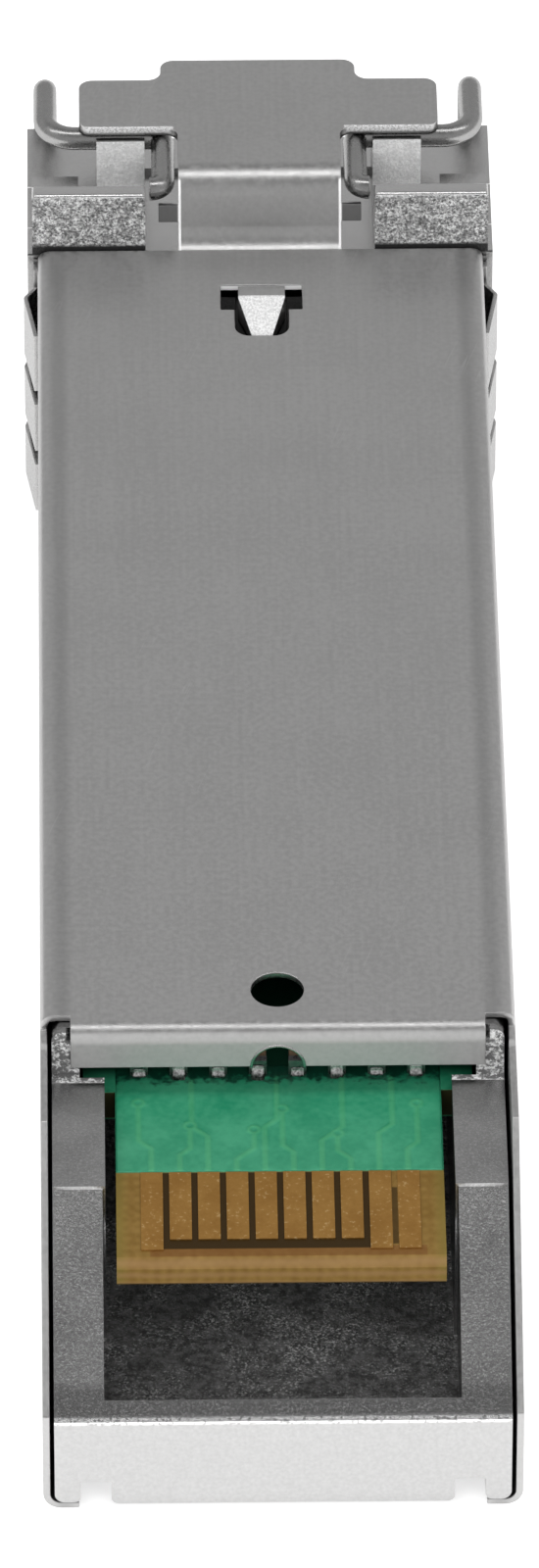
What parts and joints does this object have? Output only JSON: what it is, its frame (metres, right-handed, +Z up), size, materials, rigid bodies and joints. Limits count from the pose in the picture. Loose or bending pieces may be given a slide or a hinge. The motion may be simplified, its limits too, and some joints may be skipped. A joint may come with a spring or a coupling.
{
  "type": "pluggable optical transceiver module",
  "caption": "Slim metal pluggable optical module with duplex fibre ports, a wire bail that works a sprung latch lever, shielding spring fingers and an open rear end with a gold edge board.",
  "frame": {"origin": "centre of the base of the bounding box, on the plane that the label side lies on", "axes": "+X across the module, to the right when seen from the open rear end; +Y along it, towards the optical ports; +Z up, from the label side to the latch side"},
  "size_m": [0.0142, 0.0556, 0.0104],
  "materials": {
    "cast_metal": "plated die casting, fine granular skin",
    "cover_sheet": "satin plated sheet",
    "spring_sheet": "bright thin spring sheet",
    "lever_strip": "satin strip",
    "bail_wire": "polished round wire",
    "board": "solder mask on glass epoxy",
    "gold": "gold plated",
    "chip_black": "moulded",
    "ceramic_tan": "fired ceramic",
    "ferrite_grey": "sintered",
    "turned_steel": "turned",
    "ceramic_white": "ground ceramic",
    "flex_amber": "polyimide film"
  },
  "bodies": {
    "housing": {"base_housing": "cast_metal", "shell_cover": "cover_sheet", "emi_spring_collar": "spring_sheet", "latch_spring": "spring_sheet", "circuit_board": "board", "edge_contacts": "gold", "controller_chip": "chip_black", "laser_driver_chip": "chip_black", "limiting_amplifier_chip": "chip_black", "memory_chip": "chip_black", "capacitors": "ceramic_tan", "resistors": "chip_black", "ferrite_beads": "ferrite_grey", "optics_clamp": "lever_strip", "transmitter_barrel": "turned_steel", "transmitter_sleeve": "ceramic_white", "transmitter_can": "gold", "transmitter_flex": "flex_amber", "receiver_barrel": "turned_steel", "receiver_sleeve": "ceramic_white", "receiver_can": "gold", "receiver_flex": "flex_amber"},
    "bail": {"bail_wire": "bail_wire"},
    "latch": {"latch_lever": "lever_strip"}
  },
  "joints": [
    {"name": "bail_swing", "type": "hinge", "parent": "housing", "child": "bail", "pos_m": [0, 0.0238, 0.00968], "axis": [1, 0, 0], "range_deg": [0, 90]},
    {"name": "latch_rock", "type": "hinge", "parent": "housing", "child": "latch", "pos_m": [0, 0.0238, 0.00968], "axis": [1, 0, 0], "range_deg": [0, 5.1], "stiffness_Nm_per_rad": 0.01, "springref_deg": -2.86, "deforming": ["latch_spring"]}
  ],
  "couplings": [
    {"joint": "latch_rock", "follows": "bail_swing", "ratio": 0.0555}
  ]
}
